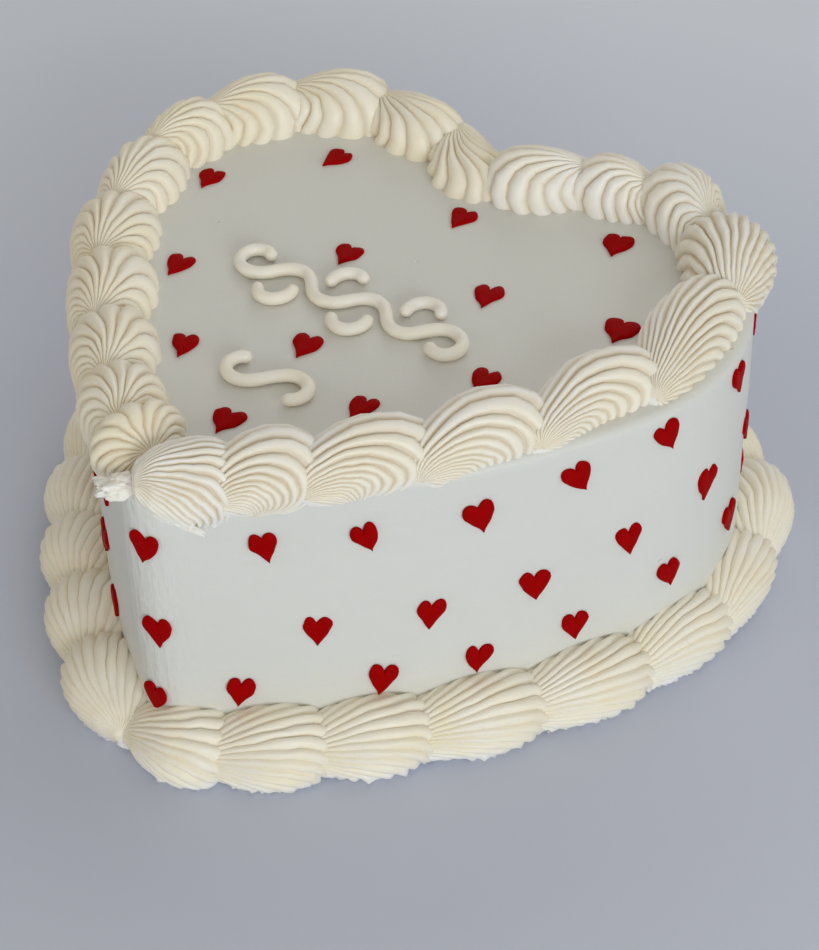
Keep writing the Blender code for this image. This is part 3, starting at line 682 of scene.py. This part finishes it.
def valley_turns(border, fan):
    """Turn of every valley round the start of the fan, so that the ridges are equally wide at EVEN_PLACE."""
    first, last = math.radians(fan["first"]), math.radians(fan["last"])
    end = fan["end"]
    far = math.tan((math.pi - EVEN_PLACE * math.radians(fan["shown_angle"])) / 2)
    reached = [0.0]
    for index in range(TURN_STEPS):
        turn = mix(first, last, (index + 0.5) / TURN_STEPS)
        flat = end + far * Vector((math.cos(turn), math.sin(turn)))
        reached.append(reached[-1] + (1 + flat.length_squared) ** -EVENNESS)
    total = fan["ridges"] - 1 + border["lowest"]
    turns = []
    for valley in range(fan["ridges"] + 1):
        wanted = (border["lowest"] + valley - 1) / total * reached[-1] if valley else 0.0
        step = min(bisect.bisect_right(reached, wanted) - 1, TURN_STEPS - 1)
        within = (wanted - reached[step]) / (reached[step + 1] - reached[step])
        turns.append(mix(first, last, (step + within) / TURN_STEPS))
    return turns


def shell_turns(border, fan):
    """For every spoke its turn, where it lies between two valleys (None where it is hidden) and the angle
    between those valleys."""
    valleys = valley_turns(border, fan)
    turns = []
    for ridge in range(fan["ridges"]):
        width = valleys[ridge + 1] - valleys[ridge]
        for place in ROPE_PLACES:
            turns.append((valleys[ridge] + width * place, ridge + place, width))
    last = valleys[-1]
    for index in range(HIDDEN_STEPS):
        share = index / HIDDEN_STEPS
        turns.append((last + (2 * math.pi + valleys[0] - last) * share, None, 0.0))
    return turns


def in_box(point):
    """The point, kept inside the cake's own box."""
    for axis in range(3):
        low, high = cad_box[0][axis] + BOX_CLEARANCE, cad_box[1][axis] - BOX_CLEARANCE
        point[axis] = clamp(point[axis], 0.0 if axis == 2 else low, high)
    return point


def shell_cage(cages, ridges, rings):
    """The sphere from which every shell with so many ridges is drawn."""
    if (ridges, rings) not in cages:
        cage = bmesh.new()
        spokes = ridges * len(ROPE_PLACES) + HIDDEN_STEPS
        bmesh.ops.create_uvsphere(cage, u_segments=spokes, v_segments=rings, radius=1.0)
        cages[ridges, rings] = cage
    return cages[ridges, rings].copy()


def icing_layers(shape):
    """The two values that the piped icing's material reads at every point: how near it is to the crest of its
    ridge, which sets the painted shade in the valleys, and how creamy it is, partly its own tone and partly
    painted warm light."""
    return shape.verts.layers.float.new("ridge"), shape.verts.layers.float.new("cream_and_warm_light")


def ring_angle(ring, shown):
    """Angle from the tail of a ring, by its share of the way over the sphere."""
    if ring < SHOWN_RINGS:
        return shown * ring / SHOWN_RINGS
    return shown + (math.pi - shown) * (ring - SHOWN_RINGS) / (1 - SHOWN_RINGS)


def fan_direction(fan, ring, turn, step, seed):
    """Direction from the sphere's middle to where a ring meets a spoke, and the ridge's width there on a
    sphere of radius 1."""
    if ring <= POLE:
        return fan["tilt"] @ Vector((-1.0, 0.0, 0.0)), 0.0
    from_tail = ring_angle(ring, fan["shown"])
    swing = sum(stray * noise.noise(Vector((turn * across, from_tail * along, seed * shift)))
                for stray, across, along, shift in RIDGE_WANDER)
    far = fan["spread"] * math.tan((math.pi - from_tail) / 2)
    flat = fan["end"] + far * Vector((math.cos(turn + swing), math.sin(turn + swing)))
    square = flat.length_squared
    direction = Vector(((1 - square), 2 * flat.x, 2 * flat.y)) / (1 + square)
    return fan["tilt"] @ direction, step * 2 * far / (1 + square)


def shell_surface(plan, direction):
    """Point of the shell's smooth form in a direction, its share of the way along the shell, its angle round
    the shell's axis, and how many times wider the ridges are there than on the sphere."""
    border = plan["border"]
    forward, across, up = direction
    share = clamp((1 + forward) / 2)
    thick = shell_profile(share)
    wide = plan["wide"] * thick * SHELL_SHRINK
    high = plan["high"] * thick * SHELL_SHRINK
    round_size = math.hypot(across, up)
    angle = math.atan2(up, across)
    growth = 1.0
    if round_size > POLE:
        across, up = across / round_size, up / round_size
        growth = (wide + high) / 2 / max(round_size, NARROWEST_ROUND)
    ramp = smooth_ramp(share / HEAD_START)
    inset = mix(border["tail_inset"], border["inset"], ramp)
    level = mix(border["tail_level"] + plan["tail_lift"], border["level"] + plan["lift"], ramp)
    out = border["inset"] - inset + plan["outward"] * ramp + wide * across
    point = Vector((share * plan["length"], -plan["side"] * out, level + high * up))
    return point, share, angle, growth


def ridge_form(border, phase, width, share, seed):
    """How near a point is to the crest of its ridge, from 0 to 1, and how far it lies under the smooth form.
    The phase is the number of the ridge with the share of the way across it."""
    number = math.floor(phase)
    crest = 1 - abs(2 * (phase - number) - 1) ** ROPE_ROUNDNESS
    lump = noise.noise(Vector((number * 3.7, seed * 1.9, share * 2.0)))
    if phase < 1 and border["lowest"] > 1:
        width *= LOWEST_DEPTH
    deepest = min(RIDGE_DEEPEST, width * border["depth_share"] * (1 + LUMP_DEPTH * lump))
    return crest, deepest * (1 - crest) - LUMP_HEIGHT * lump


def shell_cream(plan, angle):
    """How creamy a shell is, by the angle round its axis. On the top border this is painted warm light,
    stronger on the left side and on the outer side.
    """
    if plan["border"] is FOOT_BORDER:
        return FOOT_CREAM
    side_on = math.exp(-((angle - WARM_LIGHT_ANGLE) / WARM_LIGHT_SPREAD) ** 2)
    return WHITE_SHELLS.get(plan["name"], 1.0) * mix(*CREAM_AND_WARM_LIGHT_BY_SIDE[plan["side"]], side_on)


def frill_lower_edge(vert, border, ridge, cream_and_warm_light, seed):
    """Makes the ends of the ridges stand out unevenly and paler along the shell's lower edge."""
    outward = Vector((vert.normal.x, vert.normal.y, 0.0))
    height = vert.co.z - border["rests_on"] + border["edge_drop"]
    low = 1 - smooth_ramp(height / FRILL_HEIGHT)
    if low <= 0 or outward.length <= FACING_OUT:
        return
    ends = noise.noise(Vector((vert.co.x * 420, seed * 5.3, 1.0))) + 0.4
    ends += 0.8 * noise.noise(Vector((vert.co.x * 1100, seed * 5.3, 2.0)))
    push = FRILL * low * max(0.0, ends) * border["frill_share"]
    vert.co += outward.normalized() * push
    pale = 1 - smooth_ramp(height / PALE_HEIGHT)
    vert[cream_and_warm_light] *= 1 - pale * border["pale_share"]
    vert[ridge] = mix(vert[ridge], 1.0, PALE_RIDGES * pale)


def piped_shell(plan, seed, cages, material):
    """A sphere whose poles are the start and the end of the fan, so that its spokes, which are the ridges,
    spread from the tail and curl down round the head and the sides."""
    border = plan["border"]
    fan = shell_fan(plan)
    turns = shell_turns(border, fan)
    valley_shade_lift = VALLEY_SHADE_LIFT["foot" if border is FOOT_BORDER else "front" if plan["front"] else "rest"]
    shape = shell_cage(cages, fan["ridges"], border["rings"])
    ridge, cream_and_warm_light = icing_layers(shape)
    sunk = {}
    for vert in shape.verts:
        ring = math.acos(clamp(vert.co.z, -1.0, 1.0)) / math.pi
        index = round(math.atan2(vert.co.y, vert.co.x) / (2 * math.pi) * len(turns)) % len(turns)
        turn, phase, step = turns[index]
        direction, width = fan_direction(fan, ring, turn, step, seed)
        vert.co, share, angle, growth = shell_surface(plan, direction)
        if phase is None:
            sunk[vert], vert[ridge], vert[cream_and_warm_light] = 0.0, HIDDEN_RIDGE, HIDDEN_CREAM
        else:
            crest, sunk[vert] = ridge_form(border, phase, width * growth, share, seed)
            # painted shade in the valleys, lifted or deepened by group
            vert[ridge] = mix(valley_shade_lift, 1.0, crest)
            # painted warm light: creamier on the left side and on the outer side
            vert[cream_and_warm_light] = shell_cream(plan, angle)
    shape.normal_update()
    bmesh.ops.recalc_face_normals(shape, faces=shape.faces)
    shape.normal_update()
    place = Matrix.Translation((plan["place"].x, plan["place"].y, 0.0)) @ Matrix.Rotation(plan["yaw"], 4, "Z")
    for vert in shape.verts:
        vert.co = vert.co - sunk[vert] * vert.normal
        frill_lower_edge(vert, border, ridge, cream_and_warm_light, seed)
        vert.co = place @ vert.co
        for pace, height in ICING_GRAIN:
            vert.co += noise.noise_vector(vert.co * pace) * height
        vert.co = in_box(vert.co)
    return finish_piece(plan["name"] + "_piped", shape, material, [plan["name"]])


def torn_tip(material):
    """The ragged end of the last squeeze, torn off at the heart's tip, and a strip torn from its edge."""
    shape = bmesh.new()
    ridge, cream_and_warm_light = icing_layers(shape)
    for number, (middle, sizes, turn, slope) in enumerate(TORN_SCRAPS):
        turned = Matrix.Rotation(math.radians(turn), 3, "Z") @ Matrix.Rotation(math.radians(slope), 3, "Y")
        for vert in bmesh.ops.create_icosphere(shape, subdivisions=5, radius=1.0)["verts"]:
            start = vert.co + Vector((7.0 * number, 0.0, 0.0))
            rough = 1 + 0.42 * noise.noise(start * 1.7 + Vector((3.1, 0.0, 0.0)))
            rough += 0.26 * noise.noise(start * 4.3) + 0.12 * noise.noise(start * 9.0)
            vert[ridge] = clamp(0.8 + 0.5 * noise.noise(start * 4.3))
            vert[cream_and_warm_light] = TORN_CREAM
            point = Vector([size * way for size, way in zip(sizes, vert.co * rough)])
            vert.co = in_box(Vector(middle) + turned @ point)
    return finish_piece("torn_tip", shape, material, [])


# Small hearts

def heart_outline(turn):
    across = 16 * math.sin(turn) ** 3
    up = 13 * math.cos(turn) - 5 * math.cos(2 * turn) - 2 * math.cos(3 * turn) - math.cos(4 * turn)
    return Vector((across / 32 * HEART_WIDTH, (up + 2.5) / 29 * HEART_LENGTH))


HEART_STEPS = 40
HEART_RINGS = 12


def stroke_height(point, start, end, wide, narrow):
    """Height of a short squeezed stroke over a point: 1 along its middle and 0 at its edge."""
    along = end - start
    share = clamp((point - start).dot(along) / along.length_squared)
    away = (point - start - along * share).length / mix(wide, narrow, share)
    return math.sqrt(max(0.0, 1 - away * away))


def varied(usual, span, *seed):
    """A value that differs from the usual one by up to a span."""
    return usual + span * noise.noise(Vector(seed))


def add_small_heart(whole, cage, matrix, size, number):
    """A flat pillow with the outline of a heart and, on top, two strokes that meet in its tip."""
    shape = cage.copy()
    tip = Vector((0.0, -0.44 * HEART_LENGTH))
    lobes = [Vector((sign * 0.25 * HEART_WIDTH, 0.19 * HEART_LENGTH)) for sign in (-1, 1)]
    wide, narrow = STROKE_WIDE * HEART_WIDTH, STROKE_NARROW * HEART_WIDTH
    uneven = varied(*HEART_UNEVEN, number * 1.7, 0.5, 0.0)
    lean = varied(*HEART_LEAN, number * 2.3, 4.5, 0.0)
    plump = varied(*HEART_PLUMP, number * 3.1, 2.5, 0.0)
    slim = varied(*HEART_SLIM, number * 4.7, 6.5, 0.0)
    for vert in shape.verts:
        polar = math.acos(clamp(vert.co.z, -1.0, 1.0))
        turn = math.atan2(vert.co.y, vert.co.x)
        upper = polar < math.pi / 2
        spread = math.sin(polar) ** 0.55 if upper else math.sin(polar)
        oval = Vector((0.49 * HEART_WIDTH * math.sin(turn), 0.45 * HEART_LENGTH * math.cos(turn)))
        flat = heart_outline(turn).lerp(oval, plump) * spread
        if upper:
            strokes = max(stroke_height(flat, lobe, tip, wide, narrow) for lobe in lobes)
            pillow = HEART_PILLOW * math.cos(polar) ** 0.5
            crown = HEART_RELIEF * (HEART_RIM + pillow + HEART_STROKES * strokes)
        else:
            crown = mix(HEART_RELIEF * HEART_RIM, -HEART_SINK, clamp((polar / math.pi - 0.5) * 5))
        flat.y += uneven * abs(flat.x) * (1 if flat.x > 0 else -1)
        flat.x *= slim
        flat.x += lean * flat.y
        flat = flat * size
        wobble = noise.noise_vector(Vector((flat.x * 260, flat.y * 260, number * 3.3)))
        flat += Vector(wobble[:2]) * HEART_WOBBLE
        crown += HEART_GRAIN * noise.noise(Vector((flat.x * 400, flat.y * 400, number * 3.3)))
        vert.co = matrix @ Vector((flat.x, flat.y, crown))
    mesh = bpy.data.meshes.new("one_heart")
    shape.to_mesh(mesh)
    shape.free()
    whole.from_mesh(mesh)
    bpy.data.meshes.remove(mesh)


def wall_heart_places(draw):
    """Distance, side, height and tilt of the hearts on the walls."""
    places = []
    far = half_length(0.0) - NOTCH_CLEARANCE
    for height, right, left_start in HEART_ROWS:
        stations = [(distance, 1, math.radians(tilt), metres(rise)) for distance, tilt, rise in right]
        for side, distance in ((1, right[-1][0] + HEART_PITCH), (-1, left_start)):
            while distance < far:
                stations.append((distance, side, draw.uniform(-HEART_TILT, HEART_TILT), 0.0))
                distance += HEART_PITCH
        for distance, side, tilt, rise in stations:
            climb = smooth_ramp((distance - ROW_RISE_START) / (ROW_RISE_END - ROW_RISE_START))
            places.append((distance, side, height + rise + ROW_RISE * climb, tilt))
    return places


def red_hearts(material, draw):
    shape = bmesh.new()
    cage = bmesh.new()
    bmesh.ops.create_uvsphere(cage, u_segments=HEART_STEPS, v_segments=HEART_RINGS, radius=1.0)
    number = 0
    for distance, side, height, tilt in wall_heart_places(draw):
        point, out = station(distance, side)
        across = Vector((-out.y, out.x, 0.0))
        matrix = Matrix((
            (across.x, 0.0, out.x, point.x),
            (across.y, 0.0, out.y, point.y),
            (0.0, 1.0, 0.0, height),
            (0.0, 0.0, 0.0, 1.0),
        ))
        number += 1
        size = draw.uniform(*WALL_HEART_SIZES)
        add_small_heart(shape, cage, matrix @ Matrix.Rotation(tilt, 4, "Z"), size, number)
    for across, along, tilt in TOP_HEARTS:
        number += 1
        size = draw.uniform(*TOP_HEART_SIZES)
        matrix = Matrix.Translation((across, along + LOBE_LINE_Y, CAKE_HEIGHT))
        add_small_heart(shape, cage, matrix @ Matrix.Rotation(math.radians(tilt), 4, "Z"), size, number)
    cage.free()
    shape.normal_update()
    bmesh.ops.recalc_face_normals(shape, faces=shape.faces)
    return finish_piece("small_red_hearts", shape, material, ["cake_body"])


# Scroll

def curl_bend(distance, length, widest):
    share = distance / length
    return (1 - share) / widest + share / CURL_TIGHT_RADIUS


def wave_bend(distance, wave_length, span, curl_length, widest):
    if distance < span:
        turn = 2 * math.pi / wave_length
        return -WAVE_SWING * turn * math.sin(turn * distance)
    return -curl_bend(distance - span, curl_length, widest)


def stroke_points(bend, length, start, heading):
    count = round(length / SCROLL_STEP)
    step = length / count
    point = Vector(start)
    points = [point.copy()]
    for index in range(count):
        turn = bend((index + 0.5) * step) * step
        point += step * Vector((math.cos(heading + turn / 2), math.sin(heading + turn / 2)))
        heading += turn
        points.append(point.copy())
    return points


def piped_stroke(name, points, material):
    curve = bpy.data.curves.new(name + "_line", "CURVE")
    curve.dimensions = "3D"
    curve.bevel_depth = SCROLL_THICKNESS / 2
    curve.bevel_resolution = 6
    curve.use_fill_caps = True
    spline = curve.splines.new("POLY")
    spline.points.add(len(points) - 1)
    for index, (place, point) in enumerate(zip(spline.points, points)):
        ends = min(index, len(points) - 1 - index) / STROKE_END_STEPS
        place.co = (point.x, point.y, 0.0, 1.0)
        tip = math.sqrt(max(0.0, 1 - (1 - min(ends, 1.0)) ** 2))
        size = varied(*STROKE_SIZE, *(Vector((point.x, point.y, 0.0)) * 160))
        place.radius = (STROKE_END[0] + STROKE_END[1] * tip) * size
    maker = bpy.data.objects.new(name + "_maker", curve)
    bpy.context.scene.collection.objects.link(maker)
    bpy.context.view_layer.update()
    graph = bpy.context.evaluated_depsgraph_get()
    mesh = bpy.data.meshes.new_from_object(maker.evaluated_get(graph))
    shape = bmesh.new()
    shape.from_mesh(mesh)
    bpy.data.objects.remove(maker, do_unlink=True)
    bpy.data.curves.remove(curve)
    bpy.data.meshes.remove(mesh)
    bmesh.ops.remove_doubles(shape, verts=shape.verts, dist=1e-6)
    ridge, cream_and_warm_light = icing_layers(shape)
    middle = CAKE_HEIGHT + GAP + SCROLL_THICKNESS / 2
    pace, height = SCROLL_GRAIN
    for vert in shape.verts:
        vert[cream_and_warm_light] = SCROLL_CREAM
        # painted shade, darker towards the stroke's underside
        vert[ridge] = SCROLL_PAINTED_SHADE[0] + SCROLL_PAINTED_SHADE[1] * vert.co.z / (SCROLL_THICKNESS / 2)
        vert.co.y += LOBE_LINE_Y
        vert.co.z += middle - SCROLL_SINK
        vert.co += noise.noise_vector(vert.co * pace) * height
    shape.normal_update()
    bmesh.ops.recalc_face_normals(shape, faces=shape.faces)
    return finish_piece(name + "_piped", shape, material, [name])


def scroll(material):
    for name, middle, wave_length, waves, curl_length, widest in WAVES:
        span = wave_length * waves
        half = stroke_points(
            lambda distance: wave_bend(distance, wave_length, span, curl_length, widest),
            span + curl_length, (0.0, 0.0), WAVE_SWING,
        )
        turned = [-point for point in reversed(half[1:])]
        piped_stroke(name, [Vector(middle) + point for point in turned + half], material)
    for number, (start, heading, length) in enumerate(SHORT_CURLS, start=1):
        points = stroke_points(
            lambda distance: -curl_bend(distance, length, SHORT_CURL_RADIUS),
            length, start, math.radians(heading),
        )
        piped_stroke(f"scroll_curl_{number}", points, material)


# Studio

def floor():
    shape = bmesh.new()
    bmesh.ops.create_grid(shape, x_segments=1, y_segments=1, size=FLOOR_SIZE)
    mesh = bpy.data.meshes.new("floor")
    shape.to_mesh(mesh)
    shape.free()
    material, tree, shader = new_material("pale_floor")
    place = node(tree, "ShaderNodeTexCoord").outputs["Object"]
    away = node(tree, "ShaderNodeVectorMath", {0: place}, operation="LENGTH").outputs["Value"]
    share = faded(tree, away, FLOOR_SHADE_FROM, FLOOR_SHADE_TO)
    colour = colour_mix(tree, share, FLOOR_NEAR, FLOOR_FAR)
    fill_inputs(tree, shader, {"Base Color": colour, "Roughness": 0.75})
    mesh.materials.append(material)
    plane = bpy.data.objects.new("floor", mesh)
    bpy.context.scene.collection.objects.link(plane)
    plane.location.z = -FLOOR_GAP


def area_light(name, place, target, size, power, colour):
    data = bpy.data.lights.new(name, "AREA")
    data.shape = "RECTANGLE"
    data.size, data.size_y = size
    data.energy = power
    data.color = colour
    lamp = bpy.data.objects.new(name, data)
    lamp.location = place
    lamp.rotation_euler = (Vector(target) - Vector(place)).to_track_quat("-Z", "Y").to_euler()
    bpy.context.scene.collection.objects.link(lamp)


def studio():
    floor()
    for light in LIGHTS:
        area_light(*light)
    world = bpy.data.worlds.new("studio")
    world.use_nodes = True
    background = world.node_tree.nodes["Background"]
    fill_inputs(world.node_tree, background, {"Color": SURROUNDINGS, "Strength": SURROUNDINGS_STRENGTH})
    bpy.context.scene.world = world


def camera():
    data = bpy.data.cameras.new("camera")
    data.sensor_width = 36.0
    data.lens = CAMERA_LENS
    data.clip_start, data.clip_end = 0.01, 50.0
    azimuth, elevation = math.radians(CAMERA_AZIMUTH), math.radians(CAMERA_ELEVATION)
    back = Vector((math.sin(azimuth) * math.cos(elevation), -math.cos(azimuth) * math.cos(elevation),
                   math.sin(elevation)))
    right = Vector((math.cos(azimuth), math.sin(azimuth), 0.0))
    up = back.cross(right)
    roll = math.radians(CAMERA_ROLL)
    turned_right = right * math.cos(roll) + up * math.sin(roll)
    turned_up = up * math.cos(roll) - right * math.sin(roll)
    matrix = Matrix((turned_right, turned_up, back)).transposed().to_4x4()
    matrix.translation = Vector(CAMERA_PLACE)
    shot = bpy.data.objects.new("camera", data)
    shot.matrix_world = matrix
    bpy.context.scene.collection.objects.link(shot)
    bpy.context.scene.camera = shot


def main():
    camera()
    studio()
    bpy.context.scene.view_settings.view_transform = "Standard"
    relief = icing_relief_group()
    icing = smooth_icing(relief)
    piped = piped_icing(relief)
    draw = random.Random(SEED)
    plans = shell_plan("top_shell_left", TOP_BORDER, TOP_LEFT_SHELLS, -1)
    plans += shell_plan("top_shell_right", TOP_BORDER, TOP_RIGHT_SHELLS, 1)
    plans += shell_plan("foot_shell_left", FOOT_BORDER, FOOT_LEFT_SHELLS, -1)
    plans += shell_plan("foot_shell_right", FOOT_BORDER, FOOT_RIGHT_SHELLS, 1)
    smooth_cake(icing)
    cages = {}
    for number, plan in enumerate(plans, start=1):
        piped_shell(plan, number, cages, piped)
    for cage in cages.values():
        cage.free()
    torn_tip(piped)
    red_hearts(red_sugar(), draw)
    scroll(piped)


main()
